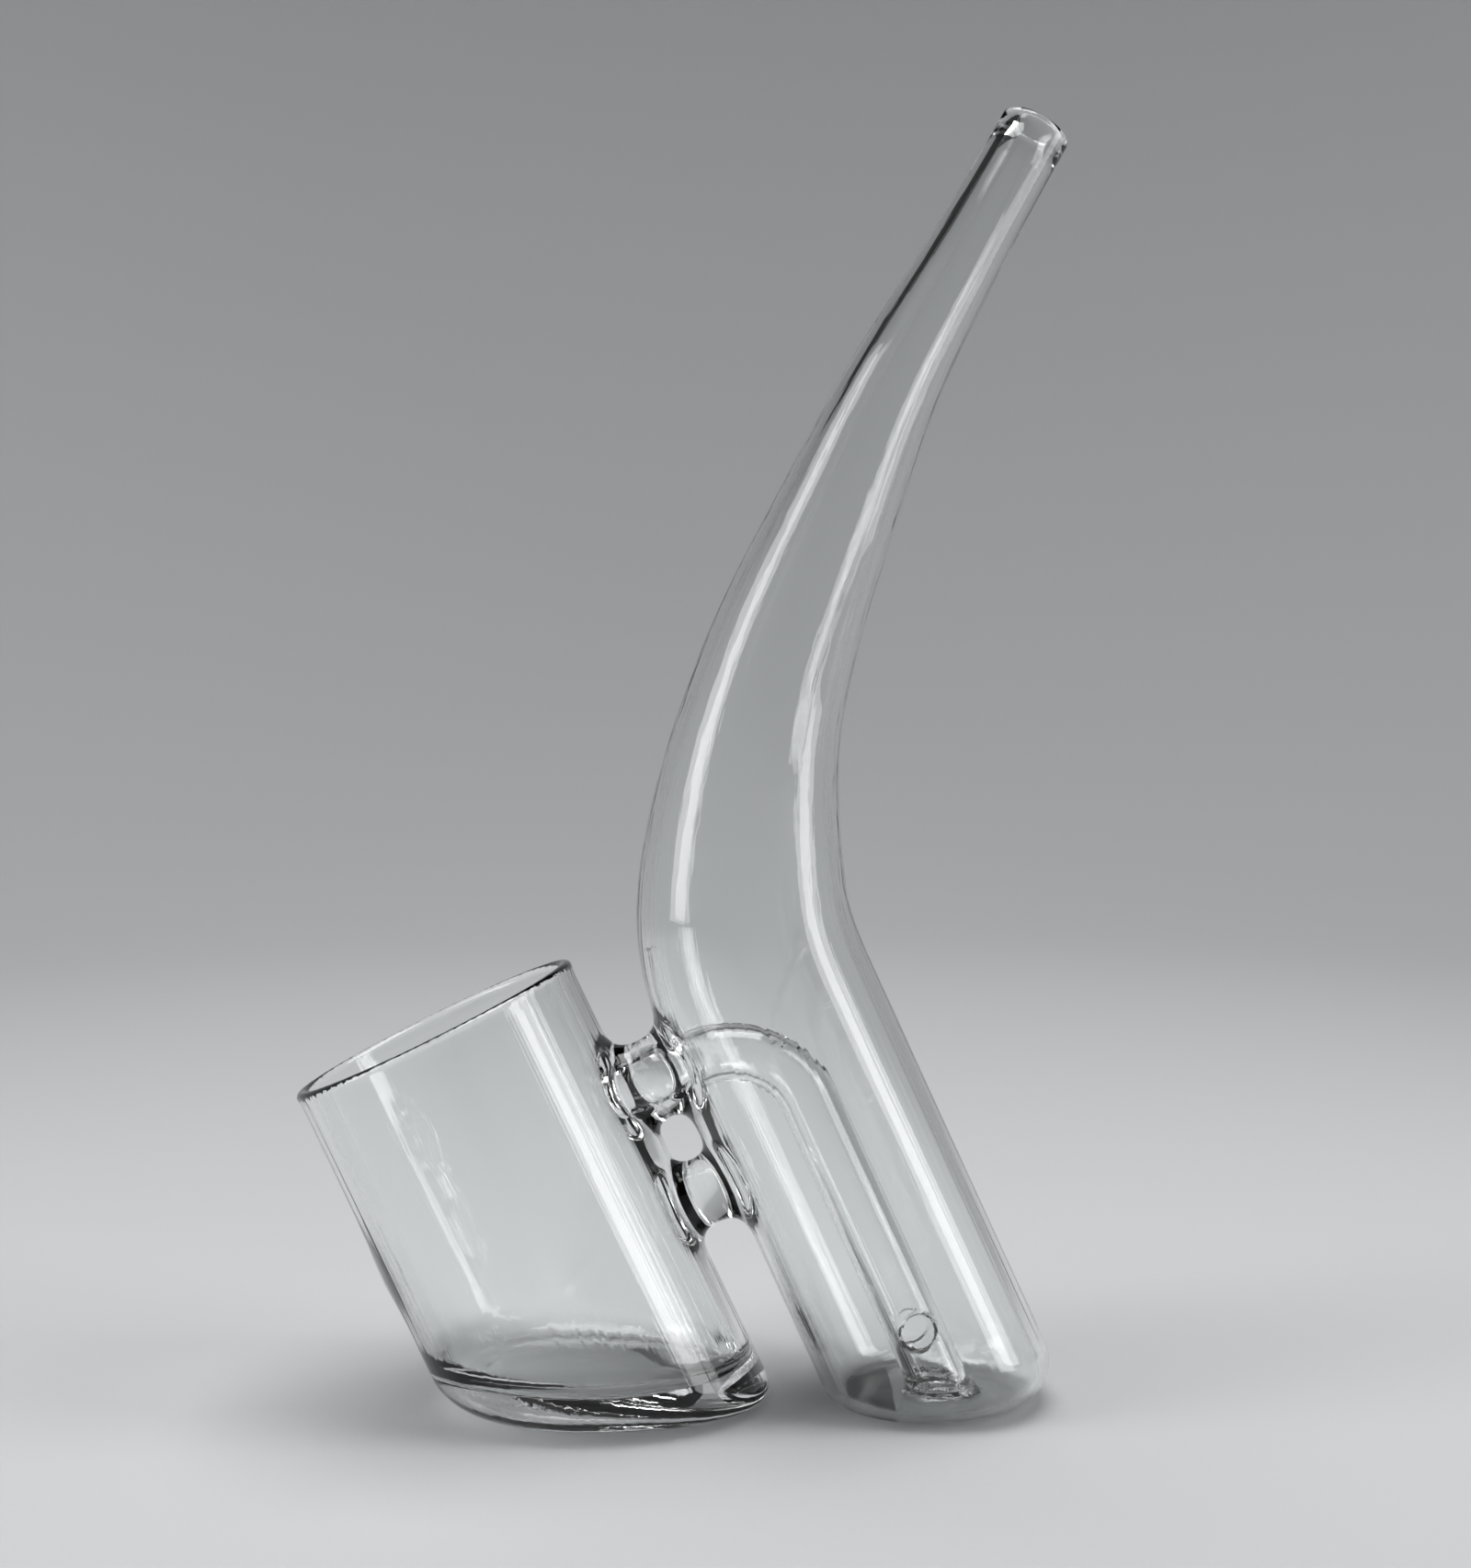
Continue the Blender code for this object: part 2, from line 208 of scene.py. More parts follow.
class Sum:
    """A socket that Python arithmetic can use."""

    def __init__(self, tree, socket):
        self.tree = tree
        self.socket = socket

    def maths(self, operation, *values):
        node = add_node(self.tree, "ShaderNodeMath", {"operation": operation},
                        dict(enumerate(values)))
        return Sum(self.tree, node.outputs[0])

    def __add__(self, other):
        return self.maths("ADD", self, other)

    def __radd__(self, other):
        return self.maths("ADD", other, self)

    def __sub__(self, other):
        return self.maths("SUBTRACT", self, other)

    def __rsub__(self, other):
        return self.maths("SUBTRACT", other, self)

    def __mul__(self, other):
        return self.maths("MULTIPLY", self, other)

    def __rmul__(self, other):
        return self.maths("MULTIPLY", other, self)

    def __truediv__(self, other):
        return self.maths("DIVIDE", self, other)

    def sine(self):
        return self.maths("SINE", self)

    def cosine(self):
        return self.maths("COSINE", self)

    def soft_step(self, start, end):
        """0 before start, 1 after end, with a soft start and end."""
        node = add_node(self.tree, "ShaderNodeMapRange", {"interpolation_type": "SMOOTHSTEP"},
                        {"Value": self, "From Min": start, "From Max": end})
        return Sum(self.tree, node.outputs["Result"])


# %% [markdown]
# ## The chamber's centre line
#
# The chamber's tube is straight at first, then bends as it narrows to the mouth. A
# glassblower holds it in the flame at one place after another, so its lean is a sum of soft
# steps along its length, and so is its narrowing. A path that follows a rule is work for
# Geometry Nodes: a row of points, the lean at each, and Accumulate Field, which adds up the
# short steps that the leans point along. The tree keeps the lean, the radius and the wall
# as attributes on the points.

# %% A tree that draws the centre line
MARK_GAP = 0.00025
MARK_START = -0.0300
MARK_COUNT = round((NECK_END + 0.012 - MARK_START) / MARK_GAP)
LINE_SIZES = {"Count": MARK_COUNT, "Start": MARK_START, "Gap": MARK_GAP,
              "Lean": -CHAMBER_LEAN, "Radius": CHAMBER_RADIUS, "Mouth Radius": MOUTH_RADIUS,
              "Wall": CHAMBER_WALL, "Mouth Wall": MOUTH_WALL}


def centre_line_tree():
    tree = bpy.data.node_groups.new("draw_the_centre_line", "GeometryNodeTree")
    tree.interface.new_socket("Points", in_out="OUTPUT", socket_type="NodeSocketGeometry")
    for name in LINE_SIZES:
        kind = "NodeSocketInt" if name == "Count" else "NodeSocketFloat"
        tree.interface.new_socket(name, in_out="INPUT", socket_type=kind)
    given = tree.nodes.new("NodeGroupInput").outputs
    size = {name: Sum(tree, given[name]) for name in LINE_SIZES}
    index = Sum(tree, add_node(tree, "GeometryNodeInputIndex").outputs[0])
    along = size["Start"] + index * size["Gap"]

    def lean_at(place):
        lean = size["Lean"]
        for start, length, turn in NECK_BENDS:
            lean = lean + place.soft_step(start, start + length) * turn
        return lean

    narrow = sum(along.soft_step(start, start + length) * share
                 for start, length, share in NECK_TAPERS)
    radius = size["Radius"] + (size["Mouth Radius"] - size["Radius"]) * narrow
    wall = size["Wall"] + (size["Mouth Wall"] - size["Wall"]) * narrow
    lean = lean_at(along + size["Gap"] / 2)
    short_step = add_node(tree, "ShaderNodeCombineXYZ", values={
        "X": lean.sine() * size["Gap"], "Z": lean.cosine() * size["Gap"]})
    running = add_node(tree, "GeometryNodeAccumulateField", {"data_type": "FLOAT_VECTOR"},
                       {0: short_step.outputs[0]})
    row = add_node(tree, "GeometryNodeMeshLine", values={"Count": size["Count"]})
    placed = add_node(tree, "GeometryNodeSetPosition", values={
        "Geometry": row.outputs[0], "Position": running.outputs["Trailing"]})
    kept = placed.outputs[0]
    for name, value in (("along", along), ("lean", lean_at(along)), ("radius", radius),
                        ("wall", wall)):
        kept = add_node(tree, "GeometryNodeStoreNamedAttribute", {"data_type": "FLOAT"},
                        {"Geometry": kept, "Name": name, "Value": value}).outputs[0]
    tree.links.new(kept, tree.nodes.new("NodeGroupOutput").inputs[0])
    return tree


# %% Reading the line's points
def points_of(mesh):
    flat = np.empty(len(mesh.vertices) * 3)
    mesh.vertices.foreach_get("co", flat)
    return flat.reshape(-1, 3)


def numbers_of(mesh, name):
    flat = np.empty(len(mesh.vertices))
    mesh.attributes[name].data.foreach_get("value", flat)
    return flat


def evaluated_mesh(thing):
    bpy.context.view_layer.update()
    state = bpy.context.evaluated_depsgraph_get()
    return bpy.data.meshes.new_from_object(thing.evaluated_get(state), depsgraph=state)


def into_scene(name, data):
    thing = bpy.data.objects.new(name, data)
    bpy.context.scene.collection.objects.link(thing)
    return thing


def run_tree(name, tree, sizes):
    """The mesh that a tree makes, given sizes by the names of its inputs."""
    guide = into_scene(name, bpy.data.meshes.new(name))
    modifier = guide.modifiers.new(name, "NODES")
    modifier.node_group = tree
    for item in tree.interface.items_tree:
        if item.in_out == "INPUT":
            modifier[item.identifier] = sizes[item.name]
    made = evaluated_mesh(guide)
    bpy.data.objects.remove(guide)
    return made


# %% Drawing the line
line = run_tree("centre_line", centre_line_tree(), LINE_SIZES)
marks = numbers_of(line, "along")
mark_lean = numbers_of(line, "lean")
mark_radius = numbers_of(line, "radius")
mark_wall = numbers_of(line, "wall")
line_x, _, line_z = points_of(line).T
line_x = line_x - np.interp(0.0, marks, line_x)
line_z = line_z - np.interp(0.0, marks, line_z)
mark_bending = np.gradient(mark_lean, marks)
print("centre line of", len(marks), "points; lean at the mouth, degrees:",
      round(float(np.degrees(np.interp(NECK_END, marks, mark_lean))), 1))

# %% [markdown]
# ## Finding a place along the bent tube
#
# To know how far a point of space is from the bent tube, the script first asks where along
# the tube it is. It takes the nearest of every eighth mark, then corrects that three times,
# allowing for the bend there. Bending a straight tube's mesh would be simpler, but then its
# wall could not be melted into the bridges.

# %% Along and across the bent tube
MOST_CROWDED = 0.3


def at_mark(along, numbers):
    return np.interp(along, marks, numbers)


def nearest_mark(x, z, batch=50000):
    """The nearest of every eighth mark, for a batch of places at a time."""
    few = slice(None, None, 8)
    found = np.empty_like(x)
    for start in range(0, len(x), batch):
        part = slice(start, start + batch)
        square = (x[part, None] - line_x[few]) ** 2 + (z[part, None] - line_z[few]) ** 2
        found[part] = marks[few][square.argmin(1)]
    return found


def place_on_tube(x, z):
    """Length along the centre line, and distance to its +X side."""
    flat_x = x.ravel()
    flat_z = z.ravel()
    along = nearest_mark(flat_x, flat_z)
    for _ in range(3):
        lean = at_mark(along, mark_lean)
        dx = flat_x - at_mark(along, line_x)
        dz = flat_z - at_mark(along, line_z)
        ahead = dx * np.sin(lean) + dz * np.cos(lean)
        side = dx * np.cos(lean) - dz * np.sin(lean)
        crowding = np.maximum(1 - at_mark(along, mark_bending) * side, MOST_CROWDED)
        along = np.clip(along + ahead / crowding, marks[0], marks[-1])
    return along.reshape(x.shape), side.reshape(x.shape)


corner = place_on_tube(np.array([cad_box[1][0]]), np.array([0.0]))
print("the box's low +X corner is", round(1000 * float(corner[1][0]), 1), "mm off the line")

# %% [markdown]
# ## The chamber and its neck
#
# Two fields make a tube: its outside and its bore. The bore closes in over a soft shoulder
# just inside the mouth, where the end was heated until it thickened. The foot was pressed
# flat while soft, so its heel is tighter on the side that the tube leans away from.

# %% Chamber, shoulder, neck and mouth
def heel_radius(heel, side, front):
    """The rounding of a foot round its axis, as mean, +X share and share at both ends."""
    mean, to_side, to_ends = heel
    across = side / np.maximum(np.hypot(side, front), TINY)
    return mean + to_side * across + to_ends * (2 * across * across - 1)


def round_rim(reach, along, outside, bore, middle, roll, end):
    """Ends a tube at end, with its wall's edge rolled round the circle of radius middle."""
    beyond = np.maximum(along - (end - roll), 0.0)
    rim = np.hypot(reach - middle, beyond) - roll
    at_rim = along > end - roll
    outer_half = reach > middle
    outside = np.where(at_rim, np.where(outer_half, rim, -roll), outside)
    bore = np.where(at_rim & ~outer_half, -rim, bore)
    return outside, bore


def chamber_fields(place, x, y, z):
    """The outside of the chamber and neck, and their bore."""
    along, side = place
    reach = np.hypot(side, y)
    outer_radius = at_mark(along, mark_radius)
    wall = at_mark(along, mark_wall)
    roll = (MOUTH_RADIUS - MOUTH_BORE) / 2
    lip = smooth_step((along - NECK_END + LIP_LENGTH) / (LIP_LENGTH - roll))
    bore_radius = (outer_radius - wall) * (1 - lip) + MOUTH_BORE * lip
    outside, bore = round_rim(reach, along, reach - outer_radius, reach - bore_radius,
                              MOUTH_RADIUS - roll, roll, NECK_END)
    facing = -sin(CHAMBER_LEAN) * side / np.maximum(reach, TINY)
    heel = heel_radius(CHAMBER_HEEL, side, y)
    inner_heel = heel_radius(CHAMBER_INNER_HEEL, side, y)
    outside = rounded_heel(outside, -z, heel, facing)
    bore = rounded_heel(bore, CHAMBER_FLOOR - z, inner_heel, facing)
    return outside, bore


side_on = (np.array([0.03]), np.array([0.0]))
skin = chamber_fields(side_on, np.array([0.0]), np.array([0.0]), np.array([0.03]))
print("chamber wall, mm:", round(1000 * float((skin[1] - skin[0])[0]), 2))

# %% [markdown]
# ## The cup
#
# The cup is a short wide tube, open above and closed below. Its foot is a thick lens of
# glass, because the end of a wide tube holds a lot of glass when it is closed over. The
# floor inside isn't level: glass ran to the side that hung lowest while it was soft.

# %% The cup
def cup_place(x, z):
    along = (x - CUP_FOOT_X) * -sin(CUP_LEAN) + z * cos(CUP_LEAN)
    side = (x - CUP_FOOT_X) * cos(CUP_LEAN) + z * sin(CUP_LEAN)
    return along, side


def cup_fields(x, y, z):
    """The outside of the cup, and its bore."""
    along, side = cup_place(x, z)
    reach = np.hypot(side, y)
    roll = CUP_WALL / 2
    spread = CUP_RIM_SPREAD * smooth_step(1 - (CUP_LENGTH - along) / CUP_RIM_LENGTH)
    middle = CUP_RADIUS + spread - roll
    outside, bore = round_rim(reach, along, reach - middle - roll, reach - middle + roll,
                              middle, roll, CUP_LENGTH)
    floor = CUP_FLOOR - CUP_FLOOR_FALL[0] * (x - CUP_FOOT_X) - CUP_FLOOR_FALL[1] * y
    facing = -sin(CUP_LEAN) * side / np.maximum(reach, TINY)
    outside = rounded_heel(outside, -z, heel_radius(CUP_HEEL, side, y), facing)
    bore = rounded_heel(bore, floor - z, heel_radius(CUP_INNER_HEEL, side, y), facing)
    return outside, bore


print("the cup's rim is", round(1000 * CUP_LENGTH * cos(CUP_LEAN), 1), "mm up on its axis")

# %% [markdown]
# ## The bridges and the downtube
#
# Both bridges run straight from one tube to the other, at right angles to the chamber. The
# upper one is hollow: air from the cup goes through it into the downtube, which starts at
# the chamber's wall, bends down, and ends in a ridged weld on the chamber's floor. A round
# hole right through its foot lets the air out. All of it lies in the chamber's own leaning
# frame.

# %% The bridges
def leaning_place(x, z):
    along = -x * sin(CHAMBER_LEAN) + z * cos(CHAMBER_LEAN)
    side = x * cos(CHAMBER_LEAN) + z * sin(CHAMBER_LEAN)
    return along, side


def bridge_field(x, y, z, height, radius):
    """A rod from the chamber's axis to the cup's, which the two bores cut short later."""
    along, side = leaning_place(x, z)
    rod = np.hypot(along - height, y) - radius
    return np.maximum(rod, np.maximum(side, -cup_place(x, z)[1]))


# %% The downtube and its bore
SEAL_FILLET = 0.0012
BEND_START = CHAMBER_RADIUS - CHAMBER_WALL - SEAM - DOWNTUBE_RUN
BEND_RADIUS = BEND_START - DOWNTUBE_SHIFT
BEND_FOOT = AIRWAY_HEIGHT - BEND_RADIUS


def downtube_fields(x, y, z):
    """The downtube's outside and its bore, which goes on through the airway."""
    along, side = leaning_place(x, z)
    straight = along < BEND_FOOT
    level = ~straight & (side < -BEND_START)
    round_bend = np.hypot(side + BEND_START, along - BEND_FOOT) - BEND_RADIUS
    across = np.where(straight, side + DOWNTUBE_SHIFT,
                      np.where(level, along - AIRWAY_HEIGHT, round_bend))
    reach = np.hypot(across, y)
    turned = np.arctan2(side + BEND_START, along - BEND_FOOT)
    share = np.where(straight | level, 0.0, np.sin(2 * np.clip(turned, 0, pi / 2)))
    outer_side = np.maximum(across / np.maximum(reach, TINY), 0.0)
    loss = DOWNTUBE_BEND_LOSS * share * outer_side
    on_weld = smooth_step((CHAMBER_FLOOR + WELD_HEIGHT + WELD_FADE - z) / WELD_FADE)
    ridge = WELD_RIDGE_DEPTH * np.cos(2 * pi * WELD_RIDGES * (z - CHAMBER_FLOOR) / WELD_HEIGHT)
    outside = reach - (DOWNTUBE_RADIUS - loss + (WELD_SPREAD - ridge) * on_weld)
    ease = smooth_step((-side - BEND_START) / PORT_EASE)
    bore_radius = (DOWNTUBE_RADIUS - DOWNTUBE_WALL) * (1 - ease) + AIRWAY_BORE * ease
    bore = np.maximum(reach - bore_radius, -cup_place(x, z)[1])
    bore = polish(bore, CHAMBER_FLOOR + SEAM - z, SEAL_FILLET)
    return outside, bore


print("the downtube bends with a radius of", round(1000 * BEND_RADIUS, 1), "mm")

# %% The hole right through its foot
def hole_field(x, y, z):
    """The round hole across the foot of the downtube."""
    along = DOWNTUBE_HOLE_HEIGHT / cos(CHAMBER_LEAN)
    middle_x = -DOWNTUBE_SHIFT / cos(CHAMBER_LEAN) - along * sin(CHAMBER_LEAN)
    facing = Vector((sin(DOWNTUBE_HOLE_TURN) * cos(DOWNTUBE_HOLE_RISE),
                     -cos(DOWNTUBE_HOLE_TURN) * cos(DOWNTUBE_HOLE_RISE),
                     sin(DOWNTUBE_HOLE_RISE)))
    dx = x - middle_x
    dz = z - DOWNTUBE_HOLE_HEIGHT
    ahead = dx * facing.x + y * facing.y + dz * facing.z
    square = dx * dx + y * y + dz * dz - ahead * ahead
    drill = np.sqrt(np.maximum(square, 0.0)) - DOWNTUBE_HOLE_RADIUS
    return np.maximum(drill, np.abs(ahead) - DOWNTUBE_RADIUS * DRILL_REACH)


print("the downtube's hole is", round(2000 * DOWNTUBE_HOLE_RADIUS, 1), "mm across")

# %% [markdown]
# ## Melting it together
#
# First the outsides are melted into one lump, then the bores are opened up into one space,
# and the glass is what is in the lump and not in the space. The order matters: a bridge may
# run right into the bores, because they are cut out after it is joined.

# %% One field for all the glass
BRIDGE_FILLET = 0.0064
RIM_FILLET = 0.0008
SLUMP_DEPTH = 0.0011
SLUMP_SPREAD = 0.0052


def slump(x, y, z):
    """How much thicker both walls are between the bridges, where they were hot longest."""
    along, side = leaning_place(x, z)
    middle = (AIRWAY_HEIGHT + SUPPORT_HEIGHT) / 2
    near = np.exp(-((along - middle) ** 2 + y * y) / SLUMP_SPREAD ** 2)
    return SLUMP_DEPTH * near * (side < 0)


def glass_field(x, y, z, place=None):
    if place is None:
        place = place_on_tube(x, z)
    chamber, chamber_bore = chamber_fields(place, x, y, z)
    cup, cup_bore = cup_fields(x, y, z)
    airway = bridge_field(x, y, z, AIRWAY_HEIGHT, AIRWAY_RADIUS)
    support = bridge_field(x, y, z, SUPPORT_HEIGHT, SUPPORT_RADIUS)
    sag = slump(x, y, z)
    lump = melt(chamber - sag, airway, BRIDGE_FILLET)
    lump = melt(lump, support, BRIDGE_FILLET)
    lump = melt(lump, cup - sag, BRIDGE_FILLET)
    downtube, bore = downtube_fields(x, y, z)
    space = polish(chamber_bore, -downtube, SEAL_FILLET)
    space = melt(space, hole_field(x, y, z), RIM_FILLET)
    space = np.minimum(space, cup_bore)
    space = melt(space, bore, RIM_FILLET)
    return np.maximum(lump, -space)


thickest = 1000 * SLUMP_DEPTH
print("between the bridges both walls are up to", round(thickest, 1), "mm thicker")

# %% [markdown]
# ## From field to mesh
#
# The field is sampled on a grid. Each cell that the surface passes through gets one point,
# and each grid edge that it crosses gets one face, between the four cells round that edge.
# The points are then moved on to the surface itself, along the field's slope, and the slope
# gives each point its normal. The shading is then that of the true round glass, not of the
# grid. Volume nodes could do the first half, but their points would stay off the surface,
# and thin clear walls show the least dent.

# %% Net over the cells that the surface crosses
CELL = 0.0006
MARGIN = 2.2


def sample_grid():
    """The field on a grid of cells that reaches a little past the box on all sides."""
    low = np.array(cad_box[0]) - MARGIN * CELL
    counts = np.ceil((np.array(cad_box[1]) - low) / CELL).astype(int) + 3
    axes = [low[i] + CELL * np.arange(counts[i]) for i in range(3)]
    xx, zz = np.meshgrid(axes[0], axes[2], indexing="ij")
    along, side = place_on_tube(xx, zz)
    values = np.empty(counts)
    for i in range(counts[0]):
        y, z = np.meshgrid(axes[1], axes[2], indexing="ij")
        x = np.full_like(y, axes[0][i])
        place = (np.broadcast_to(along[i], y.shape), np.broadcast_to(side[i], y.shape))
        values[i] = glass_field(x, y, z, place)
    return low, values


# %% A point for each cell that the surface passes through
def cell_points(low, values):
    """The points, and for each cell the number of its point, or -1."""
    cells = tuple(n - 1 for n in values.shape)
    corners = [(i, j, k) for i in (0, 1) for j in (0, 1) for k in (0, 1)]

    def at_corner(grid, corner):
        return grid[tuple(slice(c, c + n) for c, n in zip(corner, cells))]

    inside = values < 0
    total = sum(at_corner(inside, corner).astype(np.int8) for corner in corners)
    mixed = (total > 0) & (total < len(corners))
    index = np.full(cells, -1)
    index[mixed] = np.arange(mixed.sum())
    where = np.argwhere(mixed)
    place = np.zeros((len(where), 3))
    hits = np.zeros(len(where))
    # A cell's point is the middle of the places where its edges meet the surface.
    for a in corners:
        for axis in range(3):
            if a[axis]:
                continue
            b = tuple(1 if k == axis else a[k] for k in range(3))
            value_a = at_corner(values, a)[mixed]
            value_b = at_corner(values, b)[mixed]
            crossed = (value_a < 0) != (value_b < 0)
            share = np.where(crossed, value_a / np.where(crossed, value_a - value_b, 1.0), 0.0)
            point = np.tile(np.array(a, float), (len(where), 1))
            point[:, axis] += share
            place += point * crossed[:, None]
            hits += crossed
    return low + CELL * (where + place / hits[:, None]), index


# %% A face for each grid edge that meets the surface
AROUND = ((-1, -1), (0, -1), (0, 0), (-1, 0))


def faces_across(inside, index, axis):
    """Faces between the four cells round each crossed grid edge along one axis."""
    others = [k for k in range(3) if k != axis]
    first = [slice(1, -1)] * 3
    second = [slice(1, -1)] * 3
    first[axis] = slice(0, -1)
    second[axis] = slice(1, None)
    start = inside[tuple(first)]
    crossed = start != inside[tuple(second)]
    spots = np.argwhere(crossed)
    spots[:, others] += 1
    quad = []
    for steps in AROUND:
        cell = spots.copy()
        cell[:, others] += steps
        quad.append(index[cell[:, 0], cell[:, 1], cell[:, 2]])
    quad = np.stack(quad, 1)
    # Every other face is turned round, so that all of them point out of the glass.
    turned = start[crossed] == (axis == 1)
    quad[turned] = quad[turned][:, ::-1]
    return quad


def net_over(low, values):
    """Points and four-sided faces where the field changes sign."""
    points, index = cell_points(low, values)
    return points, np.concatenate([faces_across(values < 0, index, k) for k in range(3)])


# %% Moving points on to the true surface
NUDGE = 0.00002
LEAST_SLOPE = 0.25


def slope_at(points):
    """How steeply the field rises along X, Y and Z."""
    x, y, z = points.T
    slope = np.empty_like(points)
    for axis in range(3):
        step = np.zeros(3)
        step[axis] = NUDGE
        ahead = glass_field(x + step[0], y + step[1], z + step[2])
        behind = glass_field(x - step[0], y - step[1], z - step[2])
        slope[:, axis] = (ahead - behind) / (2 * NUDGE)
    return slope


def on_to_surface(points, rounds=2):
    for _ in range(rounds):
        slope = slope_at(points)
        steep = np.maximum((slope ** 2).sum(1), LEAST_SLOPE)
        move = -glass_field(*points.T) / steep
        move = np.clip(move, -CELL, CELL)
        points = points + slope * move[:, None]
    return points


# %% The mesh of the glass
def thin_out(points, faces, triangles):
    """The same surface with fewer, longer faces where it is nearly flat."""
    mesh = bpy.data.meshes.new("net")
    mesh.from_pydata(points.tolist(), [], faces.tolist())
    net = into_scene("net", mesh)
    fewer = net.modifiers.new("fewer", "DECIMATE")
    fewer.ratio = min(1.0, triangles / (2 * len(faces)))
    thinned = evaluated_mesh(net)
    bpy.data.objects.remove(net)
    return thinned


TRIANGLES = 190000
low, values = sample_grid()
points, faces = net_over(low, values)
edges = np.sort(np.concatenate([faces[:, [k, (k + 1) % 4]] for k in range(4)]), axis=1)
uses = np.unique(edges[:, 0] * len(points) + edges[:, 1], return_counts=True)[1]
print("net of", len(faces), "faces;", int((uses != 2).sum()), "edges without two faces")
glass_mesh = thin_out(on_to_surface(points), faces, TRIANGLES)
points = on_to_surface(points_of(glass_mesh))
points = np.clip(points, cad_box[0], cad_box[1])
glass_mesh.vertices.foreach_set("co", points.ravel())
glass_mesh.update()
glass_mesh.shade_smooth()
glass_mesh.calc_loop_triangles()
print("glass of", len(glass_mesh.loop_triangles), "triangles")

# %% [markdown]
# ## What the surface remembers
#
# Two more things belong to each point. Its normal is the field's slope. And it keeps where
# it lay in the tube before it was bent: along it, and across it. Drawn tube has faint lines
# along its length, which the glass material makes in those coordinates, so that they follow
# every bend. The thin downtube borrows the chamber's coordinates, because hardly any of its
# surface catches a highlight. A third value says how much a point was worked in the flame.

# %% Normals, drawn coordinates and worked places
def store(mesh, name, kind, values):
    attribute = mesh.attributes.new(name, kind, "POINT")
    field = "vector" if kind == "FLOAT_VECTOR" else "value"
    attribute.data.foreach_set(field, np.asarray(values, np.float32).ravel())


OTHER_TUBE = 1.0
FLAME_REACH = 0.0070


def drawn_place(points):
    """Along, to the side and to the front of the tube that a point was in."""
    x, y, z = points.T
    along, side = place_on_tube(x, z)
    cup_along, cup_side = cup_place(x, z)
    in_cup = np.hypot(cup_side, y) - CUP_RADIUS < np.hypot(side, y) - CHAMBER_RADIUS
    in_cup &= cup_along < CUP_LENGTH + CUP_WALL
    along = np.where(in_cup, cup_along + OTHER_TUBE, along)
    return np.stack([along, np.where(in_cup, cup_side, side), y], axis=1)


def worked(points):
    """1 at the joints and the feet, where the flame was, and 0 on untouched tube."""
    x, y, z = points.T
    along, side = leaning_place(x, z)
    heat = np.zeros_like(x)
    for height in (AIRWAY_HEIGHT, SUPPORT_HEIGHT):
        for wall in (-CHAMBER_RADIUS, -CHAMBER_RADIUS - TUBE_GAP):
            square = (along - height) ** 2 + (side - wall) ** 2 + y * y
            heat += np.exp(-square / FLAME_REACH ** 2)
    heat += np.exp(-(z / FLAME_REACH) ** 2)
    return np.clip(heat, 0, 1)


normals = slope_at(points)
normals /= np.linalg.norm(normals, axis=1)[:, None]
glass_mesh.normals_split_custom_set_from_vertices(normals.tolist())
store(glass_mesh, "drawn", "FLOAT_VECTOR", drawn_place(points))
store(glass_mesh, "worked", "FLOAT", worked(points))
glass = into_scene("fused_glass", glass_mesh)
print("points worked in the flame:", int((worked(points) > 0.5).sum()), "of", len(points))

# %% [markdown]
# ## Clear borosilicate glass
#
# The glass is as plain as can be: it lets all light through, bends it by 1.47, and is
# fire-polished, so it has hardly any roughness. What makes it real is small. Fine draw
# lines and broader waves run along each tube, the flame left soft ripples at the joints,
# and there is a breath of haze where hands and water touch it. All of them are a few
# hundredths of a millimetre deep or less, so they are in the shader and not in the mesh.
# Noise that is stretched a lot one way gives lines: here it is stretched along the tube.

# %% Noise on a stretched place
def stretched_noise(tree, place, stretch, detail):
    scaled = add_node(tree, "ShaderNodeVectorMath", {"operation": "MULTIPLY"},
                      {0: place, 1: stretch})
    noise = add_node(tree, "ShaderNodeTexNoise", values={
        "Vector": scaled.outputs[0], "Scale": 1.0, "Detail": detail})
    return Sum(tree, noise.outputs["Fac"])


def principled(name, roughness):
    material = bpy.data.materials.new(name)
    material.use_nodes = True
    shader = material.node_tree.nodes["Principled BSDF"]
    shader.inputs["Roughness"].default_value = roughness
    return material, material.node_tree, shader


# %% The glass material
CLEAR = (0.990, 0.996, 0.994, 1.0)
THICK_TINT = (0.972, 0.986, 0.982, 1.0)
DRAW_LINES = (8.0, 750.0, 750.0)
DRAW_WAVES = (14.0, 170.0, 170.0)
FLAME_RIPPLE = (240.0, 240.0, 240.0)
HAZE_PATCHES = (60.0, 60.0, 60.0)
RELIEF = 0.00012


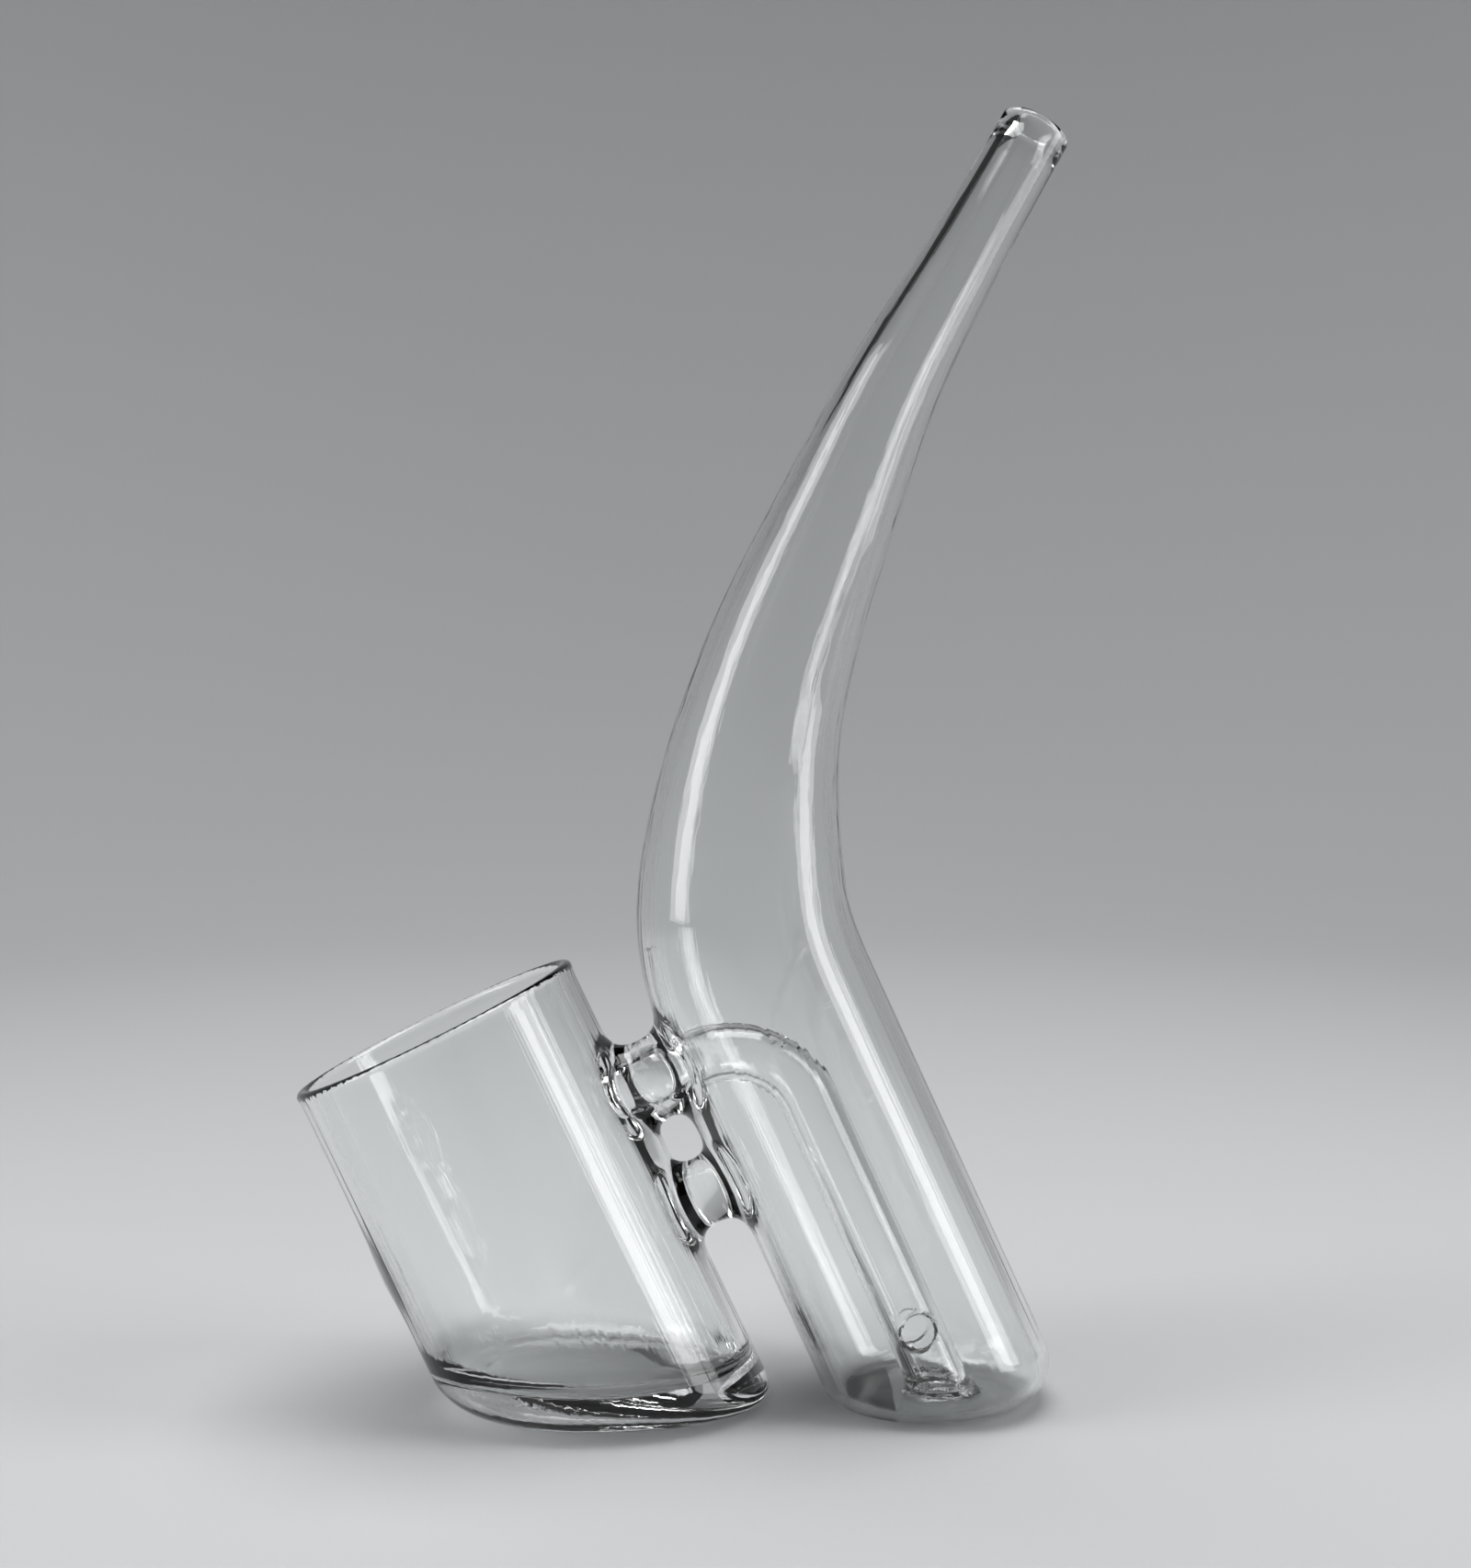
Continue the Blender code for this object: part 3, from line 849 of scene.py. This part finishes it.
def clear_glass():
    material, tree, shader = principled("borosilicate_glass", 0.0)
    shader.inputs["IOR"].default_value = 1.47
    shader.inputs["Transmission Weight"].default_value = 1.0
    drawn = add_node(tree, "ShaderNodeAttribute", {"attribute_name": "drawn"})
    drawn = drawn.outputs["Vector"]
    heat = add_node(tree, "ShaderNodeAttribute", {"attribute_name": "worked"})
    heat = Sum(tree, heat.outputs["Fac"])
    place = add_node(tree, "ShaderNodeTexCoord").outputs["Object"]
    lines = stretched_noise(tree, drawn, DRAW_LINES, 2.0)
    waves = stretched_noise(tree, drawn, DRAW_WAVES, 1.0)
    ripple = stretched_noise(tree, place, FLAME_RIPPLE, 2.0)
    haze = stretched_noise(tree, place, HAZE_PATCHES, 3.0)
    height = (lines * 1.10 + waves * 0.55) * (1 - heat * 0.7) + ripple * heat * 0.9
    bump = add_node(tree, "ShaderNodeBump", values={
        "Strength": 0.35, "Distance": RELIEF, "Height": height})
    tree.links.new(bump.outputs["Normal"], shader.inputs["Normal"])
    rough = haze.soft_step(0.45, 0.80) * 0.022 + 0.004
    tree.links.new(rough.socket, shader.inputs["Roughness"])
    tint = add_node(tree, "ShaderNodeMix", {"data_type": "RGBA"}, {
        "Factor": heat * haze, "A_Color": CLEAR, "B_Color": THICK_TINT})
    tree.links.new(socket_of(tint.outputs, "Result_Color"), shader.inputs["Base Color"])
    return material


glass_mesh.materials.clear()
glass_mesh.materials.append(clear_glass())
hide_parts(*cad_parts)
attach(glass, "root")
print("glass stands for", len(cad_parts), "CAD nodes")

# %% [markdown]
# ## Paper under and behind it
#
# Clear glass shows only what is round it, so the surroundings are part of how it looks. A
# round sheet of pale paper curves up all round. It has no corner and no edge in sight, so
# that from any side the glass has a soft field behind it, lighter near the table.

# %% A round sheet that curves up
PAPER_RADIUS = 1.4
PAPER_CURVE = 0.8
PAPER_HEIGHT = 1.0
PAPER_STEPS = 24
PAPER_SPOKES = 96


def paper_outline():
    outline = [(0.3, 0.0)]
    for step in range(PAPER_STEPS + 1):
        turn = pi / 2 * step / PAPER_STEPS
        outline.append((PAPER_RADIUS - PAPER_CURVE * (1 - sin(turn)),
                        PAPER_CURVE * (1 - cos(turn))))
    outline.append((PAPER_RADIUS, PAPER_HEIGHT))
    return outline


def paper_mesh():
    rings = paper_outline()
    points = [(0.0, 0.0, 0.0)]
    for radius, height in rings:
        for spoke in range(PAPER_SPOKES):
            turn = 2 * pi * spoke / PAPER_SPOKES
            points.append((radius * cos(turn), radius * sin(turn), height))
    faces = []
    for spoke in range(PAPER_SPOKES):
        here = 1 + spoke
        after = 1 + (spoke + 1) % PAPER_SPOKES
        faces.append((0, here, after))
        for ring in range(len(rings) - 1):
            low = ring * PAPER_SPOKES
            high = low + PAPER_SPOKES
            faces.append((low + here, high + here, high + after, low + after))
    mesh = bpy.data.meshes.new("floor")
    mesh.from_pydata(points, [], faces)
    mesh.shade_smooth()
    return mesh


# %% Paper with a faint tooth
PAPER_PALE = (0.500, 0.510, 0.520, 1.0)
PAPER_DARK = (0.490, 0.500, 0.510, 1.0)


def paper_material():
    material, tree, shader = principled("floor_paper", 0.7)
    place = add_node(tree, "ShaderNodeTexCoord").outputs["Object"]
    tooth = stretched_noise(tree, place, (900.0, 900.0, 900.0), 3.0)
    shade = add_node(tree, "ShaderNodeMix", {"data_type": "RGBA"}, {
        "Factor": tooth, "A_Color": PAPER_DARK, "B_Color": PAPER_PALE})
    tree.links.new(socket_of(shade.outputs, "Result_Color"), shader.inputs["Base Color"])
    return material


floor = into_scene("floor", paper_mesh())
floor.data.materials.append(paper_material())
print("paper of", len(floor.data.polygons), "faces")

# %% [markdown]
# ## Light
#
# Two upright soft boxes, one on each side, draw the two long highlights that tell the eye
# how round and how smooth a tube is. They are weak, and a grid in front of each keeps
# most of their light on the glass and off the paper. A wide soft light above does the rest:
# it lights the paper, and the paper lights the glass. The room itself is nearly dark, so
# that the rims and thick places, which bend light furthest, turn dark and give an outline.

# %% Three soft lights and a dark room
MIDDLE = (-0.03, 0.0, 0.09)
SOFT_BOX = (0.22, 0.62)
SKY = (0.90, 0.90)
GRID = radians(110)
NO_GRID = radians(180)


def soft_light(name, place, target, size, power, spread):
    data = bpy.data.lights.new(name, "AREA")
    data.shape = "RECTANGLE"
    data.size, data.size_y = size
    data.energy = power
    data.spread = spread
    lamp = into_scene(name, data)
    lamp.location = place
    facing = Vector(target) - Vector(place)
    lamp.rotation_euler = facing.to_track_quat("-Z", "Y").to_euler()


soft_light("left", (-0.55, -0.15, 0.32), MIDDLE, SOFT_BOX, 0.8, GRID)
soft_light("right", (0.50, -0.10, 0.32), MIDDLE, SOFT_BOX, 0.8, GRID)
soft_light("top", (-0.05, 0.10, 1.30), (-0.03, 0.10, 0.0), SKY, 15.0, NO_GRID)

world = bpy.data.worlds.new("room")
world.use_nodes = True
world.node_tree.nodes["Background"].inputs["Color"].default_value = (0.02, 0.02, 0.02, 1.0)
bpy.context.scene.world = world
bpy.context.scene.view_settings.view_transform = "Standard"
print("lights:", len(bpy.data.lights))

# %% [markdown]
# ## Camera
#
# The camera stands level, close in front, at about half the height of the glass. From there
# it looks slightly down into the cup and slightly up at the mouth.

# %% Camera
eye = bpy.data.cameras.new("camera")
eye.sensor_fit = "VERTICAL"
eye.sensor_height = 36.0
eye.lens = 43.14
eye.shift_y = -0.04
camera = into_scene("camera", eye)
camera.location = (-0.03287, -0.290, 0.10397)
camera.rotation_euler = (radians(90), 0.0, 0.0)
bpy.context.scene.camera = camera
